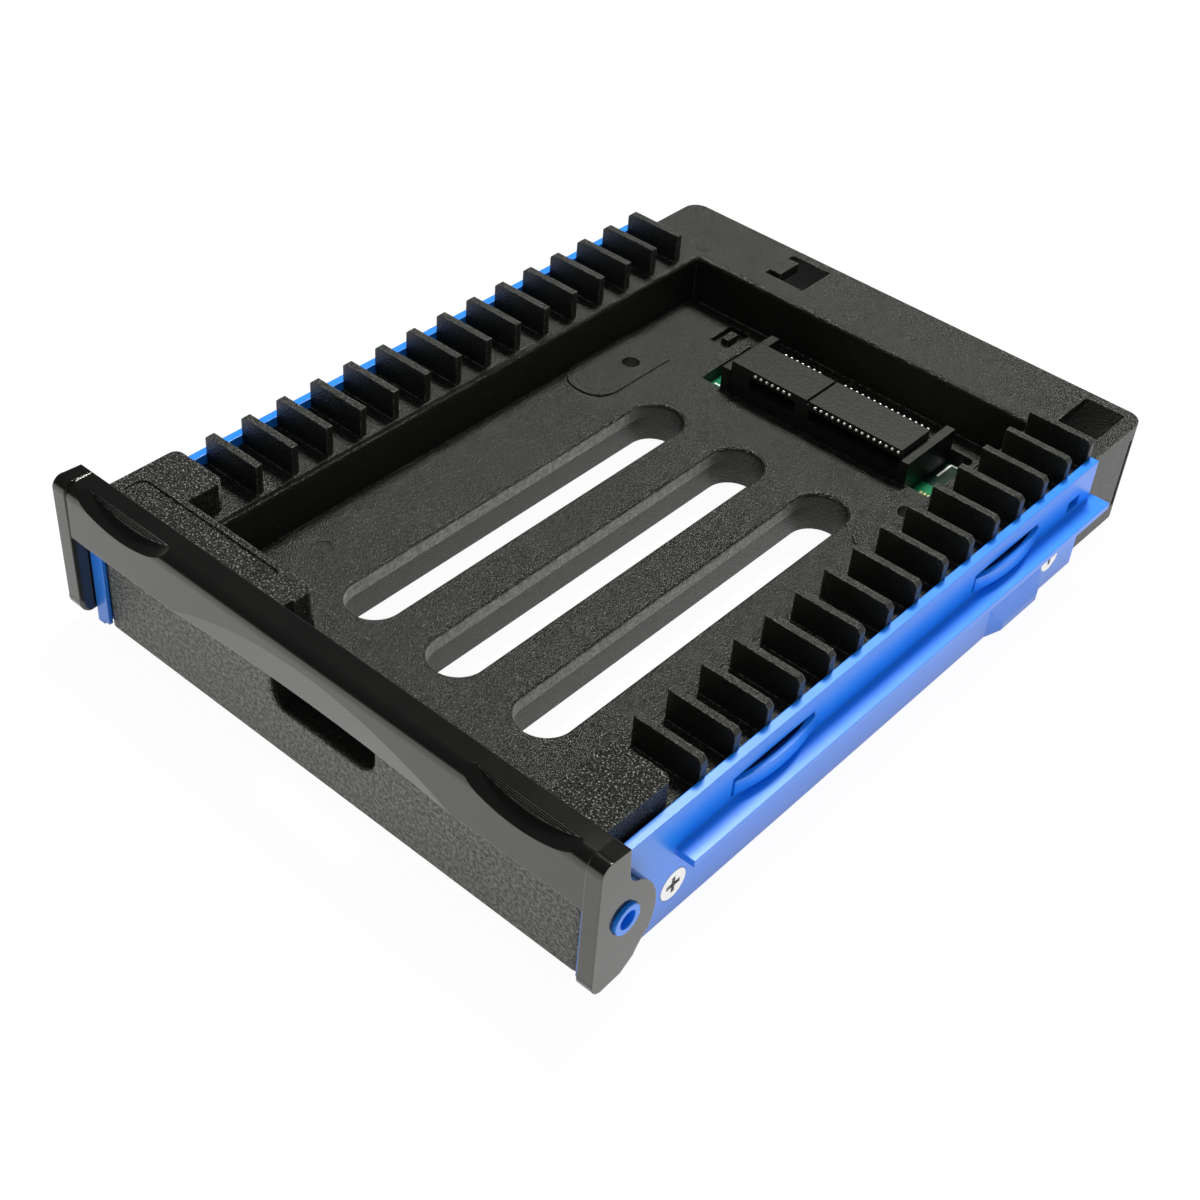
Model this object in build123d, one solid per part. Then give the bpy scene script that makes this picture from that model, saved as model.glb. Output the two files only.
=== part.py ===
from build123d import *
from math import atan2, cos, degrees, radians, sin
import os

# Millimetres. X runs to the right, Y from the front face to the rear, Z up.
# The origin is at the bottom of the front face, midway between the sides.

# Tray: the outer form of a 3.5 inch drive
tray_width = 101.6
tray_length = 147.0
deck_height = 20.5
fin_top = 26.1
wall = 2.0
front_corner_radius = 2.0
rear_corner_radius = 3.0

# Bay for a 2.5 inch drive
bay_width = 74.4
bay_front = 7.0
rear_block_length = 16.1
bay_edge_radius = 1.0
floor_top = 11.05
floor_thickness = 2.6

# Stadium slots through the floor
slot_count = 3
slot_width = 9.6
slot_front_gap = 13.9
slot_back_gap = 31.5
slot_pitch = 18.1
slot_middle_x = 1.9
slot_rim_wall = 1.6
slot_rim_bottom = 3.4

# Screw holes for the drive, and the raised pads round the rear ones
drive_hole_spacing_x = 61.72
drive_hole_spacing_y = 76.6
drive_hole_inset = 26.1
drive_hole_diameter = 3.4
drive_boss_diameter = 9.0
drive_boss_bottom = 6.0
drive_sink_diameter = 6.4
pad_width = 10.6
pad_front_reach = 13.5
pad_back_reach = 6.2
pad_height = 0.4
pad_corner_radius = 4.8

# Cooling fins along both sides
fin_count = 15
fin_pitch = 7.42
fin_first_y = 22.6
fin_thickness = 1.3
fin_setback = 1.5
fin_corner_chamfer = 0.7

# Raised blocks and band at the front
block_setback = 2.3
left_block_length = 16.3
right_block_length = 16.8
right_block_inset = 0.7
band_end_x = -11.0
band_back = 9.0
block_corner_radius = 1.5
label_recess_depth = 0.4
label_recess_length = 31.6
label_recess_width = 5.0
label_recess_edge = 1.0
label_recess_inset = 2.3

# Rebate for the handle, and the finger pull under it
rebate_depth = 2.1
rebate_bottom = 17.3
pull_x = (-11.5, 10.2)
pull_bottom = 9.1
pull_depth = 5.0
pull_corner_radius = 3.0

# Ribs under the side shelves
rib_count = 5
rib_thickness = 1.2
rib_bottom = 1.2

# Pockets in the rear block, and the grooves down its sides
left_pocket_x = (-22.3, -15.9)
left_pocket_length = 9.0
left_notch_depth = 2.5
left_notch_width = 1.6
right_pocket_x = (40.2, 48.0)
right_pocket_length = 10.0
side_groove_width = 1.0
side_groove_depth = 0.8
side_groove_inset = 3.4
side_groove_z = (3.3, 17.5)

# Circuit board under the floor
board_thickness = 1.6
board_x = (-34.0, 37.5)
board_reach = 20.9
board_back_gap = 5.0
board_hole_diameter = 2.9
board_screw_x = (-30.5, 34.0)
board_screw_edge = 5.0
board_screw_diameter = 2.5
board_screw_length = 6.0
board_screw_head_diameter = 4.6
board_screw_head_height = 1.6
board_boss_diameter = 6.0
capacitor_size = (2.0, 1.25, 1.2)
capacitor_count = 5
capacitor_row = 3.5
resistor_size = (1.6, 0.8, 0.5)
resistor_count = 4
resistor_row = 1.3
chip_pitch = 6.0

# Opening in the floor round the drive socket, with a latch in a recess on each side
cutout_x = (-19.1, 30.8)
cutout_reach = 19.9
cutout_back_gap = 4.4
cutout_corner_radius = 1.0
latch_x = (-23.75, 34.0)
latch_recess = (4.5, 6.8)
latch_recess_depth = 1.2
latch_recess_gap = 2.0
latch_size = (1.6, 3.0)
latch_height = 2.0
latch_sink = 0.5

# Drive socket on the board
socket_x = (-13.0, 24.2)
socket_face_gap = 0.4
socket_depth = 8.6
socket_rise = 6.45
socket_arm_width = 1.8
socket_arm_back_gap = 0.5
socket_arm_lead = 0.2
socket_arm_rise = 4.55
socket_mouth_height = 2.4
socket_mouth_rise = 3.5
socket_mouth_depth = 6.5
socket_divider_x = 4.0
socket_divider_width = 0.5
contact_pitch = 1.27
signal_contacts = 7
power_contacts = 15
signal_first_x = -7.5
power_first_x = 5.8
contact_width = 0.55
contact_thickness = 0.3
contact_rise = 0.9
contact_tip = 0.1

# Rear plug below the board
plug_centre_x = 20.7
plug_width = 34.0
plug_depth = 7.0
plug_height = 5.6
plug_wall = 1.2
plug_tongue_thickness = 1.2
plug_tongue_z = 3.5
plug_tongue_setback = 0.5
plug_contact_setback = 1.0
plug_signal_first_x = 8.2
plug_power_first_x = 16.5
plug_clearance = 0.3

# Cover below the board
cover_x = (-36.0, 37.7)
cover_bottom = 0.6
cover_thickness = 1.4
cover_rim = 1.4
cover_corner_radius = 1.5
cover_screw_gap = 0.2

# Side rails, with the sizes along them measured from their rear end
rail_thickness = 1.5
rail_height = 22.2
rail_front = -0.8
rail_back_gap = 3.4
rail_front_chamfer = 1.0
flange_top = 14.15
flange_thickness = 1.25
flange_width = 3.3
flange_front = 16.4
flange_overhang = 1.7
right_return_width = 0.5
left_return_width = 1.3
return_thickness = 0.7
return_bottom = 0.6
front_spring_root = 47.4
rear_spring_inset = 18.1
spring_length = 19.2
spring_gap = 0.6
spring_rise = 1.05
spring_height = 2.8
spring_window_height = 3.7
spring_thickness = 0.9
spring_bulge = 1.3
oval_inset = 7.7
oval_length = 3.6
oval_z = (15.1, 17.4)
notch_back_y = 7.4
notch_step_y = 3.7
notch_step_drop = 1.2
lug_inset = 27.9
lug_length = 15.6
lug_ramp = 3.6
lug_height = 6.0
lug_foot = 1.5
lug_out = 1.1
lug_corner_radius = 1.0

# Screws that hold the rails, and the inserts that they bite in
front_rail_screw_y = 16.9
rear_rail_screw_inset = 9.0
rail_screw_z = 6.35
rail_screw_head_diameter = 5.5
rail_screw_diameter = 3.0
rail_screw_length = 7.0
cross_width = 0.8
cross_length = 3.0
cross_depth = 1.0
insert_diameter = 4.2
insert_length = 6.0
insert_boss_diameter = 7.4
thread_clearance = 0.05
sink_clearance = 0.1

# Handle
leg_gap = 0.3
leg_thickness = 2.75
bar_front = -3.6
bar_back = 1.74
bar_bottom = 18.5
bar_top = 28.2
bar_top_radius = 2.2
bar_heel_chamfer = 0.8
facet_half_width = 29.0
facet_height = 6.4
facet_depth = 1.0
dent_centre_x = 40.3
dent_length = 24.0
dent_drop = 3.2
dent_depth = 2.4
dent_slope = 25.0

# Pivot of the handle, and its legs measured from it as (Y, Z)
pivot_y = 2.0
pivot_z = 14.65
pivot_diameter = 5.0
pivot_bore = 3.1
pivot_proud = 0.55
pivot_clearance = 0.1
leg_front = 5.8
leg_cap = 0.2
leg_cap_corner = 1.8
leg_cap_front = 2.4
neck = (0.1, 8.85)
neck_middle = (0.8, 6.75)
shoulder = (2.6, 5.55)
lobe_back = (6.45, -0.45)
lobe_low = (5.5, -6.85)
claw_middle = (4.0, -8.45)
claw_back = (2.9, -10.25)
claw_heel = (0.4, -11.95)
claw_toe = (-3.7, -12.25)
toe_middle = (-5.0, -11.45)
toe_front = (-5.6, -9.25)

# Values worked out from the sizes above
overcut = 1.0
half_tray = tray_width / 2
half_bay = bay_width / 2
bay_back = tray_length - rear_block_length
floor_bottom = floor_top - floor_thickness
slot_y = (bay_front + slot_front_gap, bay_back - slot_back_gap)
drive_hole_y = (bay_back - drive_hole_inset - drive_hole_spacing_y, bay_back - drive_hole_inset)
fin_inner_x = half_bay + fin_setback
block_inner_x = half_bay + block_setback
board_top = floor_bottom
board_bottom = board_top - board_thickness
board_y = (bay_back - board_reach, tray_length - board_back_gap)
board_screw_y = board_y[1] - board_screw_edge
cutout_y = (bay_back - cutout_reach, bay_back - cutout_back_gap)
latch_y = bay_back - latch_recess_gap - latch_recess[1] / 2
socket_y = (cutout_y[0] + socket_face_gap, cutout_y[0] + socket_face_gap + socket_depth)
socket_top = floor_top + socket_rise
mouth_z = (floor_top + socket_mouth_rise - socket_mouth_height / 2,
           floor_top + socket_mouth_rise + socket_mouth_height / 2)
contact_z = (mouth_z[1] + contact_rise, mouth_z[1] + contact_rise + contact_thickness)
rail_outer_x = half_tray + rail_thickness
rail_back = bay_back - rail_back_gap
rail_screw_y = (front_rail_screw_y, rail_back - rear_rail_screw_inset)
rail_screw_cone = (rail_screw_head_diameter - rail_screw_diameter) / 2
spring_bottom = flange_top + spring_rise
return_top = rebate_bottom - rail_front_chamfer
insert_inner_x = half_tray - insert_length
leg_inner_x = rail_outer_x + leg_gap
handle_half_width = leg_inner_x + leg_thickness
pivot_end_x = handle_half_width + pivot_proud


def span_box(x, y, z):
    """Box between a low and a high limit along each axis."""
    centre = [(low + high) / 2 for low, high in (x, y, z)]
    return Pos(*centre) * Box(x[1] - x[0], y[1] - y[0], z[1] - z[0])


def span_plate(x, y, z, radius):
    """Upright-edged plate between limits, with rounded corners seen from above."""
    face = Rectangle(x[1] - x[0], y[1] - y[0])
    face = fillet(face.vertices(), radius)
    return Pos((x[0] + x[1]) / 2, (y[0] + y[1]) / 2, z[0]) * extrude(face, z[1] - z[0])


def about(centre, width):
    """Limits of a width set evenly about a centre."""
    return (centre - width / 2, centre + width / 2)


def upright_cylinder(place, diameter, z):
    """Cylinder along Z between two heights."""
    height = z[1] - z[0]
    return Pos(place[0], place[1], z[0] + height / 2) * Cylinder(diameter / 2, height)


def side_cylinder(side, y, z, diameter, x):
    """Cylinder along X between two distances from the middle, on one side."""
    length = x[1] - x[0]
    return Pos(side * (x[0] + length / 2), y, z) * Rot(0, 90, 0) * Cylinder(diameter / 2, length)


def side_cone(side, y, z, outer_diameter, inner_diameter, x):
    """Cone along X, from its inner to its outer distance from the middle."""
    length = x[1] - x[0]
    cone = Cone(inner_diameter / 2, outer_diameter / 2, length)
    return Pos(side * (x[0] + length / 2), y, z) * Rot(0, 90 * side, 0) * cone


def tray_plan(inset):
    """Tray outline seen from above, drawn in by a wall thickness."""
    face = Pos(0, tray_length / 2) * Rectangle(tray_width - 2 * inset, tray_length - 2 * inset)
    if inset:
        return face
    face = fillet(face.vertices().sort_by(Axis.Y)[:2], front_corner_radius)
    return fillet(face.vertices().sort_by(Axis.Y)[-2:], rear_corner_radius)


def bay_shell():
    """Outer block with the drive bay sunk into it, its mouth rounded over."""
    shell = extrude(tray_plan(0), deck_height)
    shell -= span_box((-half_bay, half_bay), (bay_front, bay_back), (floor_top, deck_height + overcut))
    mouth = shell.faces().sort_by(Axis.Z)[-1].inner_wires()[0].edges()
    return fillet(mouth, bay_edge_radius)


def front_blocks():
    """Raised blocks at the front corners, and the band that runs down to the floor of the bay."""
    height = (deck_height - wall, fin_top)
    left = span_plate((-half_tray, -block_inner_x), (0, left_block_length), height, block_corner_radius)
    band = span_plate((-half_tray, band_end_x), (0, band_back), height, block_corner_radius)
    skirt = span_plate((-half_bay - wall / 2, band_end_x), (bay_front - wall / 2, band_back),
                       (floor_bottom, deck_height), block_corner_radius / 2)
    right = span_plate((block_inner_x, half_tray - right_block_inset), (0, right_block_length), height,
                       block_corner_radius)
    recess_x = (label_recess_inset - half_tray, label_recess_inset - half_tray + label_recess_length)
    recess_back = band_back - label_recess_edge
    recess = span_plate(recess_x, (recess_back - label_recess_width, recess_back),
                        (fin_top - label_recess_depth, fin_top + overcut), block_corner_radius)
    return left + band + skirt - recess + right


def underside_hollows():
    """Hollows that leave walls of even thickness below the deck, floor and blocks."""
    inner_plan = tray_plan(wall)
    under_floor = extrude(inner_plan, floor_bottom)
    bay_wall = span_box((-half_bay - wall, half_bay + wall), (bay_front - wall, bay_back + wall),
                        (0, deck_height))
    channels = extrude(inner_plan, deck_height - wall) - bay_wall
    behind_rebate = span_box((-half_tray, half_tray), (0, rebate_depth + wall),
                             (rebate_bottom - wall, deck_height))
    pull_housing = span_box((pull_x[0] - wall, pull_x[1] + wall), (0, pull_depth + wall),
                            (pull_bottom - wall, deck_height))
    block_z = (deck_height - wall - overcut, fin_top - wall)
    left = span_box((-half_tray + wall, -block_inner_x - wall),
                    (rebate_depth + wall, left_block_length - wall), block_z)
    band = span_box((-half_tray + wall, band_end_x - wall),
                    (rebate_depth + wall, band_back - wall), (0, fin_top - wall))
    right = span_box((block_inner_x + wall, half_tray - right_block_inset - wall),
                     (rebate_depth + wall, right_block_length - wall), block_z)
    hollows = under_floor + (channels - behind_rebate)
    return hollows - pull_housing + left + (band - pull_housing) + right


def shelf_ribs():
    """Cross ribs in the side channels under the fins."""
    ribs = []
    step = (bay_back - bay_front) / (rib_count + 1)
    for side in (-1, 1):
        x_pair = sorted((side * (half_bay + wall / 2), side * (half_tray - wall / 2)))
        for index in range(1, rib_count + 1):
            ribs.append(span_box(x_pair, about(bay_front + index * step, rib_thickness),
                                 (rib_bottom, deck_height - wall / 2)))
    return ribs


def side_fins():
    """Upright fins across both shelves, each with its outer top corner taken off."""
    fins = []
    for side in (-1, 1):
        outline = Polyline((side * fin_inner_x, deck_height - wall / 2), (side * fin_inner_x, fin_top),
                           (side * (half_tray - fin_corner_chamfer), fin_top),
                           (side * half_tray, fin_top - fin_corner_chamfer),
                           (side * half_tray, deck_height - wall / 2), close=True)
        fin = extrude(Plane.XZ * make_face(outline), fin_thickness / 2, both=True)
        for index in range(fin_count):
            fins.append(Pos(0, fin_first_y + index * fin_pitch, 0) * fin)
    return fins


def slot_places():
    """Centre of each floor slot."""
    first = slot_middle_x - slot_pitch * (slot_count - 1) / 2
    return [(first + index * slot_pitch, sum(slot_y) / 2) for index in range(slot_count)]


def slot_prism(grow, bottom, top):
    """One floor slot as a solid, made larger all round by a wall thickness."""
    length = slot_y[1] - slot_y[0] + 2 * grow
    face = Rot(0, 0, 90) * SlotOverall(length, slot_width + 2 * grow)
    return Pos(0, 0, bottom) * extrude(face, top - bottom)


def drive_hole_places():
    """The four holes that fix the drive."""
    x = drive_hole_spacing_x / 2
    return [(side * x, y) for y in drive_hole_y for side in (-1, 1)]


def rear_pads():
    """Raised pads that the rear of the drive rests on, one beside each bay wall."""
    pads = []
    for side in (-1, 1):
        x_pair = sorted((side * half_bay, side * (half_bay - pad_width)))
        face = Rectangle(pad_width, pad_front_reach + pad_back_reach)
        face = fillet(face.vertices().sort_by(Axis.Y)[:2], pad_corner_radius)
        middle_y = drive_hole_y[1] + (pad_back_reach - pad_front_reach) / 2
        pads.append(Pos(sum(x_pair) / 2, middle_y, floor_top - wall / 2) * extrude(
            face, wall / 2 + pad_height))
    return pads


def floor_supports():
    """What stands under the floor and the deck: slot rims and bosses for every screw."""
    supports = [Pos(x, y, 0) * slot_prism(slot_rim_wall, slot_rim_bottom, floor_top - floor_thickness / 2)
                for x, y in slot_places()]
    supports += [upright_cylinder(place, drive_boss_diameter, (drive_boss_bottom, floor_top - wall / 2))
                 for place in drive_hole_places()]
    boss_z = (board_top, deck_height - wall / 2)
    supports += [upright_cylinder((x, board_screw_y), board_boss_diameter, boss_z) for x in board_screw_x]
    for side in (-1, 1):
        for y in rail_screw_y:
            supports.append(side_cylinder(side, y, rail_screw_z, insert_boss_diameter,
                                          (insert_inner_x - wall, half_tray - wall / 2)))
    return supports


def screw_cuts():
    """Holes for the drive screws, the rail inserts and the board screws."""
    cuts = []
    sink_height = (drive_sink_diameter - drive_hole_diameter) / 2
    for place in drive_hole_places():
        cuts.append(upright_cylinder(place, drive_hole_diameter, (0, floor_top + overcut)))
        cuts.append(Pos(place[0], place[1], drive_boss_bottom + sink_height / 2) * Cone(
            drive_sink_diameter / 2, drive_hole_diameter / 2, sink_height))
    for side in (-1, 1):
        for y in rail_screw_y:
            cuts.append(side_cylinder(side, y, rail_screw_z, insert_diameter,
                                      (insert_inner_x, half_tray + overcut)))
    for x in board_screw_x:
        cuts.append(upright_cylinder((x, board_screw_y), board_screw_diameter,
                                     (board_top, board_top + board_screw_length)))
    return cuts


def front_cuts():
    """Rebate across the front for the handle, and the finger pull with its lower corners rounded."""
    rebate = span_box((-half_tray - overcut, half_tray + overcut), (-overcut, rebate_depth),
                      (rebate_bottom, fin_top + overcut))
    pull = Pos((pull_x[0] + pull_x[1]) / 2, 0) * Rectangle(pull_x[1] - pull_x[0],
                                                           2 * (deck_height - pull_bottom))
    pull = fillet(pull.vertices(), pull_corner_radius)
    pull = Plane.XZ * (Pos(0, deck_height) * pull)
    return [rebate, extrude(pull, -pull_depth)]


def rear_cuts():
    """Pockets in the rear block, grooves down its sides and the gap for the rear plug."""
    pocket_z = (deck_height - wall - overcut, deck_height + overcut)
    pocket_back = tray_length - wall
    left_y = (pocket_back - left_pocket_length, pocket_back)
    cuts = [span_box(left_pocket_x, left_y, pocket_z),
            span_box(right_pocket_x, (pocket_back - right_pocket_length, pocket_back), pocket_z)]
    for y in (left_y[0], left_y[1] - left_notch_width):
        cuts.append(span_box((left_pocket_x[0] - left_notch_depth, left_pocket_x[0]),
                             (y, y + left_notch_width), pocket_z))
    for side in (-1, 1):
        x_pair = sorted((side * (half_tray - side_groove_depth), side * (half_tray + overcut)))
        cuts.append(span_box(x_pair, about(tray_length - side_groove_inset, side_groove_width),
                             side_groove_z))
    cuts.append(span_box(about(plug_centre_x, plug_width + 2 * plug_clearance),
                         (tray_length - wall - overcut, tray_length + overcut),
                         (-overcut, board_bottom + plug_clearance)))
    return cuts


def latch_cuts():
    """Shallow recesses in the floor beside the cut-out, which the latches stand in."""
    recess_z = (floor_top - latch_recess_depth, floor_top + overcut)
    return [span_box(about(x, latch_recess[0]), about(latch_y, latch_recess[1]), recess_z)
            for x in latch_x]


def latches():
    """Small latches that rise from the recesses."""
    low = floor_top - latch_recess_depth - latch_sink
    return [span_box(about(x, latch_size[0]), about(latch_y, latch_size[1]), (low, low + latch_height))
            for x in latch_x]


def tray_body():
    """Black moulding: bay, floor slots, shelves with fins, front blocks and rear block."""
    tray = bay_shell() + front_blocks() - underside_hollows()
    tray += side_fins() + shelf_ribs() + floor_supports() + rear_pads()
    slots = [Pos(x, y, 0) * slot_prism(0, 0, floor_top + overcut) for x, y in slot_places()]
    cutout = span_plate(cutout_x, cutout_y, (0, floor_top + overcut), cutout_corner_radius)
    tray -= slots + [cutout] + screw_cuts() + front_cuts() + rear_cuts() + latch_cuts()
    return tray + latches()


def circuit_board():
    """Board that joins the drive socket to the rear plug, with a hole for each of its screws."""
    board = span_box(board_x, board_y, (board_bottom, board_top))
    return board - [upright_cylinder((x, board_screw_y), board_hole_diameter,
                                     (board_bottom - overcut, board_top + overcut)) for x in board_screw_x]


def contact_places(first_x, count):
    """Centres of a row of contacts."""
    return [first_x + index * contact_pitch for index in range(count)]


def drive_socket():
    """Housing that the drive's connector enters from the front, with guide arms beside it."""
    body = span_box(socket_x, socket_y, (board_top, socket_top))
    mouth_y = (socket_y[0] - overcut, socket_y[0] + socket_mouth_depth)
    for first_x, count in ((signal_first_x, signal_contacts), (power_first_x, power_contacts)):
        body -= span_box((first_x - contact_pitch, first_x + contact_pitch * count), mouth_y, mouth_z)
    through_y = (socket_y[0] - overcut, socket_y[1] + overcut)
    body -= span_box(about(socket_divider_x, socket_divider_width), through_y,
                     (contact_z[0], socket_top + overcut))
    for x_low in (socket_x[0] - socket_arm_width, socket_x[1]):
        body += span_box((x_low, x_low + socket_arm_width),
                         (socket_y[0] - socket_arm_lead, cutout_y[1] - socket_arm_back_gap),
                         (board_top, floor_top + socket_arm_rise))
    for x in contact_places(signal_first_x, signal_contacts) + contact_places(power_first_x, power_contacts):
        body -= span_box(about(x, contact_width), through_y, contact_z)
    return body


def socket_contact(x):
    """One contact: a tongue through the housing and a leg down to the board."""
    width = about(x, contact_width)
    leg_y = (socket_y[1], socket_y[1] + contact_thickness)
    tongue = span_box(width, (socket_y[0] - contact_tip, leg_y[1]), contact_z)
    return tongue + span_box(width, leg_y, (board_top, contact_z[1]))


def host_plug():
    """Rear plug: a shallow box with two tongues, hung below the board."""
    x = about(plug_centre_x, plug_width)
    y = (tray_length - plug_depth, tray_length)
    z = (board_bottom - plug_height, board_bottom)
    shell = span_box(x, y, z)
    shell -= span_box((x[0] + plug_wall, x[1] - plug_wall), (y[0] + plug_wall, y[1] + overcut),
                      (z[0] + plug_wall / 2, z[1] - plug_wall / 2))
    for first, count in ((plug_signal_first_x, signal_contacts), (plug_power_first_x, power_contacts)):
        last = first + contact_pitch * (count - 1)
        shell += span_box((first - contact_pitch / 2, last + contact_pitch / 2),
                          (y[0] + plug_wall / 2, y[1] - plug_tongue_setback),
                          about(plug_tongue_z, plug_tongue_thickness))
    return shell


def plug_contact(x):
    """One contact lying on the upper face of a tongue."""
    low = plug_tongue_z + plug_tongue_thickness / 2
    return span_box(about(x, contact_width),
                    (tray_length - plug_depth + plug_wall, tray_length - plug_contact_setback),
                    (low, low + contact_thickness))


def board_cover():
    """Cover that closes the underside below the board, with a rim that holds it off the board."""
    y = (board_y[0], board_screw_y - board_screw_head_diameter / 2 - cover_screw_gap)
    cover = span_plate(cover_x, y, (cover_bottom, cover_bottom + cover_thickness), cover_corner_radius)
    rim_z = (cover_bottom, board_bottom)
    cover += span_box(cover_x, (y[0], y[0] + cover_rim), rim_z)
    for x in (cover_x[0], cover_x[1] - cover_rim):
        cover += span_box((x, x + cover_rim), y, rim_z)
    return cover


def board_screw(x):
    """Pan head screw up through the board into a boss."""
    screw = upright_cylinder((x, board_screw_y), board_screw_diameter - 2 * thread_clearance,
                             (board_bottom, board_bottom + board_screw_length))
    head = upright_cylinder((x, board_screw_y), board_screw_head_diameter,
                            (board_bottom - board_screw_head_height, board_bottom))
    return screw + head


def board_chips(size, count, row):
    """A row of small parts on the board's upper side, in the open space behind the socket."""
    first = (socket_x[0] + socket_x[1] - chip_pitch * (count - 1)) / 2
    return [span_box(about(first + index * chip_pitch, size[0]), about(cutout_y[1] - row, size[1]),
                     (board_top, board_top + size[2])) for index in range(count)]


def rail_web(return_width):
    """Side plate of a rail, with its guide flange and the return round the tray's front corner."""
    web = span_box((half_tray, rail_outer_x), (rail_front, rail_back), (0, rail_height))
    flange = span_box((rail_outer_x - rail_thickness / 2, rail_outer_x + flange_width),
                      (flange_front, rail_back + flange_overhang),
                      (flange_top - flange_thickness, flange_top))
    wrap = span_box((half_tray - return_width, rail_outer_x), (rail_front, rail_front + return_thickness),
                    (return_bottom, return_top))
    return web + flange + wrap


def leaf_spring(root_y):
    """Moulded leaf that bows outwards and is free at its front end."""
    root_y += spring_gap
    free_y = root_y - spring_length
    middle_y = (root_y + free_y) / 2
    outer_x = rail_outer_x
    inner_x = outer_x - spring_thickness
    face = make_face([
        ThreePointArc((outer_x, root_y), (outer_x + spring_bulge, middle_y), (outer_x, free_y)),
        Line((outer_x, free_y), (inner_x, free_y)),
        ThreePointArc((inner_x, free_y), (inner_x + spring_bulge, middle_y), (inner_x, root_y)),
        Line((inner_x, root_y), (outer_x, root_y)),
    ])
    return Pos(0, 0, spring_bottom) * extrude(face, spring_height)


def bottom_lug():
    """Lug that swells out of the rail's lower edge: a ramp in front and a rounded end behind."""
    front = rail_back - lug_inset
    inner_x = rail_outer_x - rail_thickness / 2
    plan = Polyline((inner_x, front), (rail_outer_x, front), (rail_outer_x + lug_out, front + lug_ramp),
                    (rail_outer_x + lug_out, front + lug_length), (inner_x, front + lug_length), close=True)
    plan = make_face(plan)
    rear_corner = plan.vertices().sort_by(Axis.X)[-2:].sort_by(Axis.Y)[-1]
    section = Polyline((inner_x, 0), (rail_outer_x + lug_out, 0), (rail_outer_x + lug_out, lug_foot),
                       (rail_outer_x, lug_height), (inner_x, lug_height), close=True)
    wedge = Pos(0, front + lug_length, 0) * extrude(Plane.XZ * make_face(section), lug_length)
    return extrude(fillet(rear_corner, lug_corner_radius), lug_height) & wedge


def front_notch():
    """What is cut from the rail's front end to clear the handle's bar."""
    step_z = rail_height - notch_step_drop
    top_z = rail_height + overcut
    front = rail_front - overcut
    outline = Polyline((front, return_top - overcut), (rail_front + rail_front_chamfer, rebate_bottom),
                       (notch_back_y, rebate_bottom), (notch_step_y, step_z), (rebate_depth, step_z),
                       (rebate_depth, top_z), (front, top_z), close=True)
    cut = extrude(Plane.YZ * make_face(outline), rail_thickness + 2 * overcut)
    return Pos(half_tray - overcut, 0, 0) * cut


def right_rail(return_width):
    """Blue side rail: web, flange, return, pivot boss, two leaf springs and a bottom lug."""
    through = (half_tray - overcut, rail_outer_x + overcut)
    rail = rail_web(return_width) + bottom_lug()
    rail += side_cylinder(1, pivot_y, pivot_z, pivot_diameter, (half_tray, pivot_end_x))
    rail -= side_cylinder(1, pivot_y, pivot_z, pivot_bore, (half_tray, pivot_end_x + overcut))
    for root_y in (front_spring_root, rail_back - rear_spring_inset):
        rail -= span_box(through, (root_y - spring_length, root_y),
                         (spring_bottom, spring_bottom + spring_window_height))
        rail += leaf_spring(root_y)
    oval_front = rail_back - oval_inset
    rail -= span_box(through, (oval_front, oval_front + oval_length), oval_z)
    rail -= front_notch()
    for y in rail_screw_y:
        rail -= side_cone(1, y, rail_screw_z, rail_screw_head_diameter + 2 * sink_clearance,
                          rail_screw_diameter + 2 * sink_clearance,
                          (rail_outer_x - rail_screw_cone, rail_outer_x))
        rail -= side_cylinder(1, y, rail_screw_z, rail_screw_diameter + 2 * sink_clearance,
                              (half_tray - overcut, rail_outer_x - rail_screw_cone))
    return rail


def rail_screw(side, y):
    """Countersunk cross-head screw, its head flush in the rail."""
    cone_x = rail_outer_x - rail_screw_cone
    head = side_cone(side, y, rail_screw_z, rail_screw_head_diameter, rail_screw_diameter,
                     (cone_x, rail_outer_x))
    shank = side_cylinder(side, y, rail_screw_z, rail_screw_diameter,
                          (rail_outer_x - rail_screw_length, cone_x))
    cross_x = sorted((side * (rail_outer_x - cross_depth), side * (rail_outer_x + overcut)))
    upright = span_box(cross_x, about(y, cross_width), about(rail_screw_z, cross_length))
    level = span_box(cross_x, about(y, cross_length), about(rail_screw_z, cross_width))
    return head + shank - upright - level


def screw_insert(side, y):
    """Threaded insert, flush in a boss of the tray."""
    insert = side_cylinder(side, y, rail_screw_z, insert_diameter, (insert_inner_x, half_tray))
    return insert - side_cylinder(side, y, rail_screw_z, rail_screw_diameter + 2 * thread_clearance,
                                  (insert_inner_x, half_tray))


def leg_outline():
    """Side view of the handle's leg: grip end above, round lobe and claw below the pivot."""
    neck_at, neck_mid, shoulder_at, lobe_at, low_at, claw_mid, claw_at, heel_at, toe_at, toe_mid, front_at = [
        (pivot_y + y, pivot_z + z) for y, z in (
            neck, neck_middle, shoulder, lobe_back, lobe_low, claw_middle, claw_back, claw_heel, claw_toe,
            toe_middle, toe_front)]
    cap_front = (pivot_y - leg_front, bar_top + leg_cap - leg_cap_corner)
    cap_back = (cap_front[0] + leg_cap_front, bar_top + leg_cap)
    return make_face([
        Line((bar_back, bar_top), neck_at),
        ThreePointArc(neck_at, neck_mid, shoulder_at),
        ThreePointArc(shoulder_at, lobe_at, low_at),
        ThreePointArc(low_at, claw_mid, claw_at),
        Line(claw_at, heel_at),
        Line(heel_at, toe_at),
        ThreePointArc(toe_at, toe_mid, front_at),
        Line(front_at, cap_front),
        TangentArc(cap_front, cap_back, tangent=(0, 1)),
        Line(cap_back, (bar_back, bar_top)),
    ])


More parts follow.
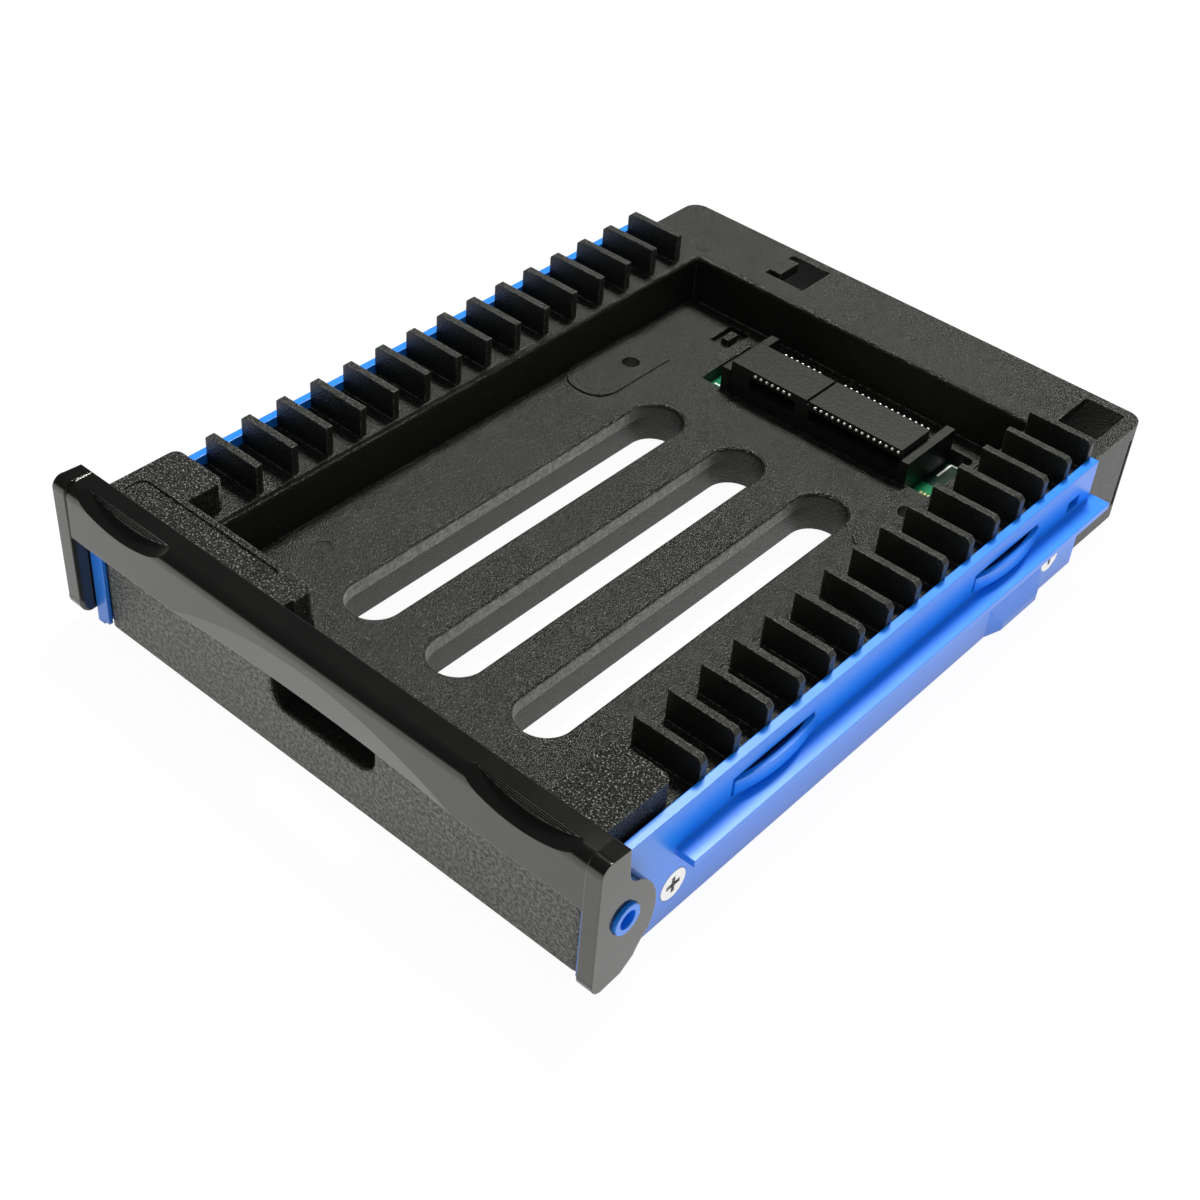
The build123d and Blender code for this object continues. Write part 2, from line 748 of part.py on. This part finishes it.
def front_facet():
    """Shallow cylinder that hollows the lower front of the bar along an arched crease."""
    lean = atan2(facet_depth, facet_height)
    radius = (facet_half_width ** 2 + facet_depth ** 2) / (2 * facet_depth)
    crown = (bar_front, bar_bottom + facet_height)
    centre = Pos(0, crown[0] - radius * cos(lean), crown[1] - radius * sin(lean))
    return centre * Rot(degrees(lean), 0, 0) * Cylinder(radius, 4 * facet_height)


def grip_dent(x):
    """Finger dent in the bar's top front edge: an arched floor that rises to a flat back wall."""
    radius = ((dent_length / 2) ** 2 + dent_drop ** 2) / (2 * dent_drop)
    middle_z = bar_top - dent_drop + radius / cos(radians(dent_slope))
    barrel = Pos(x, bar_front, middle_z) * Rot(dent_slope + 90, 0, 0) * Cylinder(radius, 4 * dent_length)
    reach = span_box(about(x, dent_length + 2 * overcut), (bar_front - overcut, bar_front + dent_depth),
                     (bar_bottom, bar_top + overcut))
    return barrel & reach


def handle():
    """Gloss black lever: a bar across the front and a leg at each end, in one piece."""
    section = Pos((bar_front + bar_back) / 2, (bar_bottom + bar_top) / 2) * Rectangle(
        bar_back - bar_front, bar_top - bar_bottom)
    section = fillet(section.vertices().sort_by(Axis.Y)[-2:].sort_by(Axis.X)[0], bar_top_radius)
    section = chamfer(section.vertices().sort_by(Axis.Y)[:2].sort_by(Axis.X)[-1], bar_heel_chamfer)
    bar = extrude(Plane.YZ * section, handle_half_width - leg_thickness / 2, both=True)
    bar -= [front_facet(), grip_dent(-dent_centre_x), grip_dent(dent_centre_x)]
    leg = extrude(Plane.YZ * leg_outline(), leg_thickness)
    lever = bar + Pos(leg_inner_x, 0, 0) * leg + Pos(-handle_half_width, 0, 0) * leg
    bore = Cylinder(pivot_diameter / 2 + pivot_clearance, 2 * handle_half_width + overcut)
    return lever - Pos(0, pivot_y, pivot_z) * Rot(0, 90, 0) * bore


def write(name, *solids):
    """Write one node's STEP file."""
    shape = solids[0] if len(solids) == 1 else Compound(children=list(solids))
    shape.label = name
    export_step(shape, f"parts/{name}.step")


os.makedirs("parts", exist_ok=True)
write("tray_body", tray_body())
write("circuit_board", circuit_board())
write("drive_socket", drive_socket())
for kind, first, count in (("signal", signal_first_x, signal_contacts),
                           ("power", power_first_x, power_contacts)):
    write(f"socket_{kind}_contacts", *[socket_contact(x) for x in contact_places(first, count)])
write("host_plug", host_plug())
for kind, first, count in (("signal", plug_signal_first_x, signal_contacts),
                           ("power", plug_power_first_x, power_contacts)):
    write(f"plug_{kind}_contacts", *[plug_contact(x) for x in contact_places(first, count)])
write("board_cover", board_cover())
for side_name, screw_x in zip(("left", "right"), board_screw_x):
    write(f"board_screw_{side_name}", board_screw(screw_x))
write("board_capacitors", *board_chips(capacitor_size, capacitor_count, capacitor_row))
write("board_resistors", *board_chips(resistor_size, resistor_count, resistor_row))
write("rail_right", right_rail(right_return_width))
write("rail_left", mirror(right_rail(left_return_width), Plane.YZ))
for side_name, side_sign in (("right", 1), ("left", -1)):
    for end_name, screw_y in zip(("front", "rear"), rail_screw_y):
        write(f"rail_screw_{end_name}_{side_name}", rail_screw(side_sign, screw_y))
        write(f"screw_insert_{end_name}_{side_name}", screw_insert(side_sign, screw_y))
write("handle", handle())
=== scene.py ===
import math

import bmesh
import bpy
from mathutils import Matrix, Vector


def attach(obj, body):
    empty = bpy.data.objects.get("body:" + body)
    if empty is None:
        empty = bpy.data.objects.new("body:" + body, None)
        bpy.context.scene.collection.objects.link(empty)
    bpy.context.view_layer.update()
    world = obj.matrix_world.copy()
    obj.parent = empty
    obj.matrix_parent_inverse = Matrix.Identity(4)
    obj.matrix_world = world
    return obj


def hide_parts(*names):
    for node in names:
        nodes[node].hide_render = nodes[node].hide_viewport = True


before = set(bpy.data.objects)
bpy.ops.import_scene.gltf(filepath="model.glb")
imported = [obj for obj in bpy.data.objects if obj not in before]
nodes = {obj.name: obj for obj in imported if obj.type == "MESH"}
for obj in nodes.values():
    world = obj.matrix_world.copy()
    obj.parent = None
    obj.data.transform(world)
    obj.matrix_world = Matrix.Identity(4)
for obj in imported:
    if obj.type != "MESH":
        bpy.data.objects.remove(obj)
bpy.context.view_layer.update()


# The tray is one moulding in matt black plastic. Its mould was spark eroded, which leaves a
# grainy skin: coarse on the front and the corner blocks, finer on the deck, and worn
# smoother along the edges. Painted light is laid into its colour too: lighter front faces and
# slot walls, bright specks and bright edges.
class Value:
    """The output of a node, which Python's own operators work on."""

    def __init__(self, graph, socket):
        self.graph = graph
        self.socket = socket

    def math(self, operation, other=0.0, swap=False):
        first, second = (other, self) if swap else (self, other)
        return self.graph.node("ShaderNodeMath", {"operation": operation}, {0: first, 1: second})

    def __add__(self, other):
        return self.math("ADD", other)

    def __radd__(self, other):
        return self.math("ADD", other)

    def __sub__(self, other):
        return self.math("SUBTRACT", other)

    def __rsub__(self, other):
        return self.math("SUBTRACT", other, swap=True)

    def __mul__(self, other):
        return self.math("MULTIPLY", other)

    def __rmul__(self, other):
        return self.math("MULTIPLY", other)

    def __gt__(self, other):
        return self.math("GREATER_THAN", other)

    def __lt__(self, other):
        return self.math("LESS_THAN", other)


class Graph:
    """A node tree that a material or the studio is built in."""

    def __init__(self, tree):
        self.tree = tree

    def feed(self, socket, value):
        if isinstance(value, Value):
            self.tree.links.new(value.socket, socket)
        else:
            socket.default_value = value

    def node(self, kind, settings=None, inputs=None, output=0):
        """Add a node of any type: its settings first, then the values or links of its sockets."""
        made = self.tree.nodes.new(kind)
        for name, value in (settings or {}).items():
            setattr(made, name, value)
        for name, value in (inputs or {}).items():
            self.feed(made.inputs[name], value)
        return Value(self, made.outputs[output])

    def mix(self, factor, first, second):
        """Mix two colours by a factor."""
        return self.node("ShaderNodeMix", {"data_type": "RGBA"},
                         {0: factor, 6: first, 7: second}, output=2)

    def smooth(self, value, low, high):
        """Step from 0 to 1 between two values."""
        return self.node("ShaderNodeMapRange", {"interpolation_type": "SMOOTHSTEP"},
                         {"Value": value, "From Min": low, "From Max": high})

    def axis(self, vector, name):
        """One coordinate of a vector."""
        return self.node("ShaderNodeSeparateXYZ", None, {0: vector}, output=name)


class Finish(Graph):
    """A material being built: its nodes, and the shader at their end."""

    def __init__(self, name, **constants):
        self.material = bpy.data.materials.new(name)
        self.material.use_nodes = True
        super().__init__(self.material.node_tree)
        self.shader = self.tree.nodes["Principled BSDF"]
        self.set(**constants)

    def set(self, **sockets):
        """Set or link the shader's sockets, named with underscores for spaces."""
        for name, value in sockets.items():
            self.feed(self.shader.inputs[name.replace("_", " ")], value)

    def place(self):
        return self.node("ShaderNodeTexCoord", output="Object")

    def noise(self, scale, detail=2.0, roughness=0.5):
        return self.node("ShaderNodeTexNoise", None,
                         {"Vector": self.place(), "Scale": scale, "Detail": detail, "Roughness": roughness})

    def cells(self, scale):
        """Small cells scattered over the surface."""
        return self.node("ShaderNodeTexVoronoi", {"feature": "F1"},
                         {"Vector": self.place(), "Scale": scale}, output="Distance")

    def round_edges(self, radius):
        """Normal of the surface with its sharp edges rounded."""
        return self.node("ShaderNodeBevel", {"samples": 6}, {"Radius": radius})

    def edges(self, radius):
        """1 along the sharp edges, falling to 0 away from them."""
        flat = self.node("ShaderNodeNewGeometry", output="Normal")
        facing = self.node("ShaderNodeVectorMath", {"operation": "DOT_PRODUCT"},
                           {0: flat, 1: self.round_edges(radius)}, output="Value")
        return self.smooth(facing, 1.0, 0.85)

    def bump(self, height, distance, strength=1.0, normal=None):
        inputs = {"Height": height, "Distance": distance, "Strength": strength}
        if normal is not None:
            inputs["Normal"] = normal
        return self.node("ShaderNodeBump", None, inputs)

    def put_on(self, *names):
        """Give the named CAD pieces this material."""
        for name in names:
            for slot in nodes[name].material_slots:
                slot.material = self.material


textured_black = Finish("textured_black", IOR=1.5, Specular_Tint=(0.96, 0.98, 0.88, 1))
height = textured_black.axis(textured_black.place(), "Z")
depth = textured_black.axis(textured_black.place(), "Y")
facing = textured_black.axis(textured_black.node("ShaderNodeNewGeometry", output="Normal"), "Z")
upright = textured_black.smooth(facing.math("ABSOLUTE"), 0.7, 0.3)
front_depth = 0.0003
block_level = 0.0212
block_back = 0.0175
slot_wall_low, slot_wall_high = 0.0084, 0.0109
slot_wall_front, slot_wall_fade, slot_wall_back = 0.019, 0.090, 0.0985
high_top = height > block_level
front_face = (depth < front_depth) * upright
block_top = high_top * (depth < block_back)
coarse = front_face.math("MAXIMUM", block_top)
# Mask of the slot walls' upper band, which gets painted light.
slot_wall = (height > slot_wall_low) * (height < slot_wall_high) * upright * (depth > slot_wall_front)
slot_wall = slot_wall * textured_black.smooth(depth, slot_wall_back, slot_wall_fade)
grain = textured_black.noise(4200.0, 2.0, 0.6)
pits = textured_black.cells(3400.0)
mottle = textured_black.noise(1500.0, 3.0, 0.7)
tone = textured_black.noise(55.0, 3.0, 0.6)
# Painted highlights: bright specks scattered in the colour stand in for the lamp's glints on the grain.
painted_glint_mask = textured_black.smooth(textured_black.noise(3300.0, 1.0, 0.5), 0.57, 0.70)
edge = textured_black.edges(0.0004)
dark = textured_black.mix(tone, (0.004, 0.0045, 0.0035, 1), (0.010, 0.011, 0.009, 1))
speckle = textured_black.smooth(mottle, 0.40, 0.62)
# Painted light: the front faces are coloured much lighter than the rest, for the white floor's light they
# catch; the mottle on them is the coarser grain.
front_mottle_and_painted_light = textured_black.mix(speckle, (0.04, 0.041, 0.035, 1), (0.23, 0.235, 0.20, 1))
# Painted light: the upper band of the slot walls is coloured lighter for the floor's light falling on it,
# fading out towards the slots' rear ends.
painted_slot_wall_light = textured_black.mix(speckle, (0.17, 0.175, 0.155, 1), (0.38, 0.39, 0.35, 1))
# The skin's colour, with the painted light of the front faces and slot walls laid in.
skin = textured_black.mix(slot_wall, textured_black.mix(front_face, dark, front_mottle_and_painted_light), painted_slot_wall_light)
# The painted specks are denser on the front and the corner blocks, and fewer on upright faces.
painted_sparkle = painted_glint_mask * (0.18 + coarse * 0.82) * (1.0 - upright * 0.7)
# Painted highlights along the sharp edges, broken up by the mottle.
painted_edge_highlight = edge * speckle * 0.6
textured_black.set(
    Base_Color=textured_black.mix(painted_sparkle.math("MAXIMUM", painted_edge_highlight), skin, (0.25, 0.26, 0.23, 1)),
    Roughness=0.25 + high_top * 0.07 + coarse * 0.07 + tone * 0.08 - edge * 0.04,
    Normal=textured_black.bump(grain * 0.5 + pits * (0.3 + coarse * 0.4), 0.0004, 0.9,
                               textured_black.round_edges(0.0003)),
)


def rounded_mouth(radius, lip):
    """Cutter that rounds over the mouth of a hole, whose surface lies at height 0."""
    cutter = bmesh.new()
    spin_steps = 48
    turn = math.pi / spin_steps
    under = lip * 0.4
    outline = [(0.0, -lip - under), (radius - under, -lip - under)]
    for step in range(7):
        angle = math.radians(90 - 15 * step)
        outline.append((radius + lip - lip * math.sin(angle), lip * math.cos(angle) - lip))
    outline += [(radius + lip, lip), (0.0, lip)]
    ring = [cutter.verts.new((reach * math.cos(turn), reach * math.sin(turn), level))
            for reach, level in outline]
    for first, second in zip(ring, ring[1:]):
        cutter.edges.new((first, second))
    bmesh.ops.spin(cutter, geom=cutter.verts[:] + cutter.edges[:], cent=(0, 0, 0), axis=(0, 0, 1),
                   angle=math.tau, steps=spin_steps, use_merge=True)
    bmesh.ops.remove_doubles(cutter, verts=cutter.verts, dist=1e-7)
    bmesh.ops.recalc_face_normals(cutter, faces=cutter.faces)
    return cutter


def stretch(shape, axis, run):
    """Draw one half of a shape out along an axis."""
    move = Vector((0, 0, 0))
    move[axis] = run
    bmesh.ops.translate(shape, verts=[vert for vert in shape.verts if vert.co[axis] > 1e-6], vec=move)


def add_piece(name, shape, body, material, sharp=30):
    """Make a piece of the object from a bmesh, and let it ride on a body."""
    mesh = bpy.data.meshes.new(name)
    shape.to_mesh(mesh)
    shape.free()
    mesh.shade_smooth()
    mesh.set_sharp_from_angle(angle=math.radians(sharp))
    mesh.materials.append(material)
    piece = bpy.data.objects.new(name, mesh)
    bpy.context.collection.objects.link(piece)
    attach(piece, body)
    return piece


floor_top = 0.01105
slot_middles = (-0.0162, 0.0019, 0.0200)
slot_radius = 0.0048
slot_front = 0.0257
slot_run = 0.0689
slot_lip = 0.0008
pull_corner = 0.003
pull_corner_at = (-0.0085, 0, 0.0121)
pull_run = 0.0157
pull_rise = 0.012
pull_lip = 0.0007
cutters = bmesh.new()
mouths = []
for slot_x in slot_middles:
    mouth = rounded_mouth(slot_radius, slot_lip)
    stretch(mouth, 1, slot_run)
    bmesh.ops.translate(mouth, verts=mouth.verts, vec=(slot_x, slot_front, floor_top))
    mouths.append(mouth)
mouth = rounded_mouth(pull_corner, pull_lip)
stretch(mouth, 0, pull_run)
stretch(mouth, 1, pull_rise)
bmesh.ops.rotate(mouth, verts=mouth.verts, cent=(0, 0, 0), matrix=Matrix.Rotation(math.pi / 2, 3, "X"))
bmesh.ops.translate(mouth, verts=mouth.verts, vec=pull_corner_at)
mouths.append(mouth)
for mouth in mouths:
    part = bpy.data.meshes.new("mouth")
    mouth.to_mesh(part)
    mouth.free()
    cutters.from_mesh(part)
    bpy.data.meshes.remove(part)
cutter_mesh = bpy.data.meshes.new("mouths")
cutters.to_mesh(cutter_mesh)
cutters.free()
cutter = bpy.data.objects.new("mouths", cutter_mesh)
bpy.context.collection.objects.link(cutter)

moulding = bmesh.new()
moulding.from_mesh(nodes["tray_body"].data)
bmesh.ops.remove_doubles(moulding, verts=moulding.verts, dist=1e-6)
bmesh.ops.dissolve_limit(moulding, angle_limit=math.radians(0.3), verts=moulding.verts, edges=moulding.edges)
tray = add_piece("tray_moulding", moulding, "caddy", textured_black.material)
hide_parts("tray_body")
cut = tray.modifiers.new("mouths", "BOOLEAN")
cut.operation = "DIFFERENCE"
cut.solver = "EXACT"
cut.object = cutter
bpy.context.view_layer.update()
tray.data = bpy.data.meshes.new_from_object(tray.evaluated_get(bpy.context.evaluated_depsgraph_get()))
tray.modifiers.clear()
tray.data.shade_smooth()
tray.data.set_sharp_from_angle(angle=math.radians(30))
bpy.data.objects.remove(cutter)
flat_walls = tray.modifiers.new("flat_walls", "WEIGHTED_NORMAL")
flat_walls.mode = "FACE_AREA"
flat_walls.weight = 100
flat_walls.keep_sharp = True

# The cover that closes the underside below the board is a thin flat moulding, with a rim that
# holds it off the board. It is made of the same grained black plastic as the tray.
textured_black.put_on("board_cover")


# The two side rails are moulded in glossy blue plastic, each in one piece with its guide
# flange, leaf springs and pivot boss. Each is held to the tray's side by two screws.
blue_plastic = Finish("blue_plastic", IOR=1.8)
flow = blue_plastic.noise(70.0, 3.0, 0.5)
ripple = blue_plastic.noise(220.0, 2.0, 0.5)
blue_plastic.set(
    Base_Color=blue_plastic.mix(flow, (0.003, 0.21, 0.97, 1), (0.008, 0.27, 1.0, 1)),
    Roughness=0.26 + flow * 0.10,
    Normal=blue_plastic.bump(ripple, 0.00004, 0.5, blue_plastic.round_edges(0.0002)),
)
blue_plastic.put_on("rail_left", "rail_right")


# The handle is a lever moulded in gloss black plastic, which swings on the rails' bosses. Fine
# ribs run along the back wall of each finger dent, and are moulded with it.
gloss_black = Finish("gloss_black", IOR=1.7, Specular_Tint=(0.96, 0.98, 0.88, 1), Coat_Weight=0.15,
                     Coat_Roughness=0.05)
smudge = gloss_black.noise(55.0, 4.0, 0.6)
waviness = gloss_black.noise(110.0, 2.0, 0.5)
gloss_black.set(
    Base_Color=gloss_black.mix(smudge, (0.005, 0.005, 0.005, 1), (0.009, 0.0085, 0.008, 1)),
    Roughness=0.08 + smudge * 0.08,
    Normal=gloss_black.bump(waviness, 0.00002, 0.4, gloss_black.round_edges(0.0003)),
)
gloss_black.put_on("handle")

dent_middle = 0.0403
dent_wall = -0.0012
rib_radius = 0.00014
rib_round = 0.00008
rib_rows = ((0.0267, 0.0048), (0.0272, 0.0066), (0.0277, 0.0080))
ribs = bmesh.new()
for dent_x in (-dent_middle, dent_middle):
    for level, half_length in rib_rows:
        rib = bmesh.ops.create_cone(ribs, cap_ends=True, segments=12, radius1=rib_radius, radius2=rib_radius,
                                    depth=2 * half_length)["verts"]
        bmesh.ops.rotate(ribs, verts=rib, cent=(0, 0, 0), matrix=Matrix.Rotation(math.pi / 2, 3, "Y"))
        bmesh.ops.translate(ribs, verts=rib, vec=(dent_x, dent_wall, level))
caps = [edge for edge in ribs.edges if any(len(face.verts) > 4 for face in edge.link_faces)]
bmesh.ops.bevel(ribs, geom=caps, offset=rib_round, segments=2, profile=0.5, affect="EDGES", material=-1)
add_piece("grip_ribs", ribs, "handle_lever", gloss_black.material)


# The rails are held by countersunk cross-head screws and the board by pan-head ones, all of
# steel with a bright zinc plating. The rail screws bite in turned brass inserts, which are
# pressed into the tray.
zinc = Finish("zinc", Metallic=1.0)
plating = zinc.noise(900.0, 3.0, 0.6)
zinc.set(
    Base_Color=zinc.mix(plating, (0.82, 0.82, 0.81, 1), (0.95, 0.95, 0.93, 1)),
    Roughness=0.16 + plating * 0.16,
    Normal=zinc.bump(plating, 0.00002, 0.5, zinc.round_edges(0.0002)),
)
zinc.put_on(*[name for name in nodes if "screw" in name and "insert" not in name])
brass = Finish("brass", Metallic=1.0)
turned = brass.noise(1200.0, 3.0, 0.6)
brass.set(Base_Color=brass.mix(turned, (0.70, 0.52, 0.22, 1), (0.80, 0.63, 0.30, 1)),
          Roughness=0.2 + turned * 0.2)
brass.put_on(*[name for name in nodes if "insert" in name])


# The circuit board is green glass laminate, screwed from below into bosses of the tray. Its
# colour turns nearly black from just behind the socket's front to the rear, and it has gold
# pads and white print beside the socket.
board_green = Finish("board_green")
weave = board_green.noise(700.0, 3.0, 0.6)
# The board's colour goes nearly black beyond this depth.
darkening_start, darkening_full = 0.1176, 0.1182
rear_darkening = board_green.smooth(board_green.axis(board_green.place(), "Y"), darkening_start, darkening_full)
board_green.set(
    Base_Color=board_green.mix(rear_darkening, board_green.mix(weave, (0.002, 0.13, 0.05, 1), (0.006, 0.24, 0.09, 1)),
                               (0.002, 0.02, 0.010, 1)),
    Roughness=0.22 + weave * 0.15,
)
board_green.put_on("circuit_board")
board_top = 0.00845


def flat_marks(places, thickness):
    """Thin rectangles on the board, each given as its middle, width and length."""
    marks = bmesh.new()
    for x, y, width, length in places:
        made = bmesh.ops.create_cube(marks, size=1.0)["verts"]
        bmesh.ops.scale(marks, verts=made, vec=(width, length, thickness))
        bmesh.ops.translate(marks, verts=made, vec=(x, y, board_top + thickness * 0.45))
    bmesh.ops.bevel(marks, geom=marks.edges[:], offset=thickness * 0.2, segments=1, profile=0.5,
                    affect="EDGES", material=-1)
    return marks


gold = Finish("pad_gold", Metallic=0.6)
polish = gold.noise(1500.0, 2.0, 0.5)
gold.set(Base_Color=gold.mix(polish, (0.85, 0.66, 0.25, 1), (0.95, 0.80, 0.42, 1)),
         Roughness=0.2 + polish * 0.15)
white_print = Finish("white_print")
ink = white_print.noise(1800.0, 2.0, 0.5)
white_print.set(Base_Color=white_print.mix(ink, (0.72, 0.74, 0.72, 1), (0.88, 0.90, 0.88, 1)),
                Roughness=0.4 + ink * 0.2)
pad_thickness = 0.00008
print_thickness = 0.00005
pad_row, pad_width, pad_length = 0.1147, 0.00045, 0.0011
pad_pitch = 0.0008
pads = [(first + pad_pitch * index, pad_row, pad_width, pad_length)
        for first, count in ((-0.0164, 5), (0.0276, 3)) for index in range(count)]
add_piece("board_pads", flat_marks(pads, pad_thickness), "caddy", gold.material)
print_lines = [(-0.0176, 0.1146, 0.0015, 0.0004), (-0.0158, 0.1178, 0.0020, 0.0003),
               (-0.0149, 0.1174, 0.0003, 0.0010), (0.0270, 0.1232, 0.0004, 0.0044),
               (0.0276, 0.1256, 0.0014, 0.0004)]
add_piece("board_print", flat_marks(print_lines, print_thickness), "caddy", white_print.material)

# The socket for the drive and the plug at the rear are moulded in a satin black plastic and
# soldered to the board. Their contacts are stamped and plated, and pressed into the mouldings.
housing_black = Finish("housing_black", IOR=1.5, Specular_Tint=(0.96, 0.98, 0.88, 1))
haze = housing_black.noise(1500.0, 3.0, 0.6)
housing_black.set(
    Base_Color=housing_black.mix(haze, (0.005, 0.006, 0.005, 1), (0.010, 0.012, 0.010, 1)),
    Roughness=0.34 + haze * 0.12,
    Normal=housing_black.bump(haze, 0.00006, 0.6, housing_black.round_edges(0.0002)),
)
housing_black.put_on("drive_socket", "host_plug")
contact_metal = Finish("contact_metal", Metallic=0.5)
plate = contact_metal.noise(1500.0, 2.0, 0.5)
contact_metal.set(Base_Color=contact_metal.mix(plate, (0.92, 0.88, 0.76, 1), (0.98, 0.96, 0.90, 1)),
                  Roughness=0.2 + plate * 0.12)
contact_metal.put_on("socket_signal_contacts", "socket_power_contacts", "plug_signal_contacts",
                     "plug_power_contacts")

# Each contact of the socket has a rounded nose at the front. At the rear it bends down into a
# leg, which is soldered to the board.
contact_pitch = 0.00127
contact_x = [first + contact_pitch * index
             for first, count in ((-0.0075, 7), (0.0058, 15)) for index in range(count)]
noses = bmesh.new()
front_nose = (0.11128, 0.0168)
rear_bend = (0.1203, 0.0172)
nose_radius = 0.0003
for x in contact_x:
    for y, z in (front_nose, rear_bend):
        nose = bmesh.ops.create_icosphere(noses, subdivisions=2, radius=nose_radius)["verts"]
        bmesh.ops.translate(noses, verts=nose, vec=(x, y, z))
add_piece("contact_noses", noses, "caddy", contact_metal.material, sharp=80)
solder = Finish("solder", Metallic=0.8)
cast = solder.noise(1800.0, 2.0, 0.5)
solder.set(Base_Color=solder.mix(cast, (0.60, 0.60, 0.60, 1), (0.78, 0.78, 0.77, 1)),
           Roughness=0.25 + cast * 0.2)
joint_row = 0.1205
joint_height = 0.0005
joint_foot, joint_tip = 0.00048, 0.0002
joint_round = 0.00008
joints = bmesh.new()
for x in contact_x:
    joint = bmesh.ops.create_cone(joints, cap_ends=True, segments=16, radius1=joint_foot, radius2=joint_tip,
                                  depth=joint_height)["verts"]
    bmesh.ops.translate(joints, verts=joint, vec=(x, joint_row, board_top + joint_height / 2))
rims = [edge for edge in joints.edges if any(len(face.verts) > 4 for face in edge.link_faces)]
bmesh.ops.bevel(joints, geom=rims, offset=joint_round, segments=2, profile=0.5, affect="EDGES", material=-1)
add_piece("solder_joints", joints, "caddy", solder.material)

# The small parts on the board, behind the socket, are chips of fired ceramic: tan capacitors
# and dark resistors, which are soldered on by their ends.
for name, low, high in (("board_capacitors", (0.28, 0.19, 0.11, 1), (0.40, 0.29, 0.18, 1)),
                        ("board_resistors", (0.012, 0.012, 0.012, 1), (0.03, 0.03, 0.03, 1))):
    ceramic = Finish(name)
    fired = ceramic.noise(1500.0, 2.0, 0.5)
    ceramic.set(Base_Color=ceramic.mix(fired, low, high), Roughness=0.4 + fired * 0.2)
    ceramic.put_on(name)


# The floor is a wide white sweep. It shows white to the camera and in reflections, and keeps
# the object's soft shadow.
bpy.ops.mesh.primitive_plane_add(size=8.0)
floor = bpy.context.object
floor.name = "floor"
sweep = Finish("white_sweep", Roughness=0.9, Specular_IOR_Level=0.0, Emission_Strength=0.96)
shown = sweep.node("ShaderNodeLightPath", output="Is Camera Ray")
for ray in ("Is Glossy Ray", "Is Transmission Ray"):
    shown = shown.math("MAXIMUM", sweep.node("ShaderNodeLightPath", output=ray))
sweep.set(Base_Color=sweep.mix(shown, (0.85, 0.85, 0.85, 1), (0.06, 0.06, 0.06, 1)),
          Emission_Color=sweep.mix(shown, (0, 0, 0, 1), (1, 1, 1, 1)))
floor.data.materials.append(sweep.material)

# The studio around the object is white to the camera. In reflections its walls are grey low
# down and dark overhead, and an even light comes from all sides.
world = bpy.data.worlds.new("studio")
bpy.context.scene.world = world
world.use_nodes = True
studio = Graph(world.node_tree)
background = studio.tree.nodes["Background"]
rise = studio.axis(studio.node("ShaderNodeTexCoord", output="Generated"), "Z")
walls = 0.03 + studio.smooth(rise, 0.25, 0.0) * 0.30
glossy = studio.node("ShaderNodeLightPath", output="Is Glossy Ray")
seen = studio.node("ShaderNodeLightPath", output="Is Camera Ray")
seen = seen.math("MAXIMUM", studio.node("ShaderNodeLightPath", output="Is Transmission Ray"))
level = (1.0 - glossy) * 0.5 + glossy * walls
studio.feed(background.inputs["Strength"], (1.0 - seen) * level + seen)
studio.feed(background.inputs["Color"], (1, 1, 1, 1))

# One small soft box hangs over the object, a little to its left and behind it. It makes the
# highlights on the grain and along the edges, to which the bright specks and edges painted
# into the tray's colour are added.
light = bpy.data.lights.new("overhead", "AREA")
light.shape = "SQUARE"
light.size = 0.26
light.energy = 16.0
lamp = bpy.data.objects.new("overhead", light)
bpy.context.collection.objects.link(lamp)
lamp_place = Vector((-0.18, 0.55, 1.10))
tray_middle = Vector((0, 0.07, 0))
aim = (tray_middle - lamp_place).to_track_quat("-Z", "Y").to_matrix().to_4x4()
lamp.matrix_world = Matrix.Translation(lamp_place) @ aim


# The camera stands at the photograph's place, which was found from the known sizes of the
# tray and its floor holes.
camera_data = bpy.data.cameras.new("camera")
camera_data.sensor_width = 36.0
camera_data.lens = 57.30
camera_data.clip_start = 0.01
camera = bpy.data.objects.new("camera", camera_data)
bpy.context.collection.objects.link(camera)
camera_place = (0.14862, -0.13026, 0.20875)
azimuth, elevation, roll = math.radians(37.682), math.radians(40.865), math.radians(5.26)
camera.matrix_world = (Matrix.Translation(camera_place) @ Matrix.Rotation(azimuth, 4, "Z")
                       @ Matrix.Rotation(math.pi / 2 - elevation, 4, "X") @ Matrix.Rotation(roll, 4, "Z"))
bpy.context.scene.camera = camera
bpy.context.scene.view_settings.view_transform = "Standard"
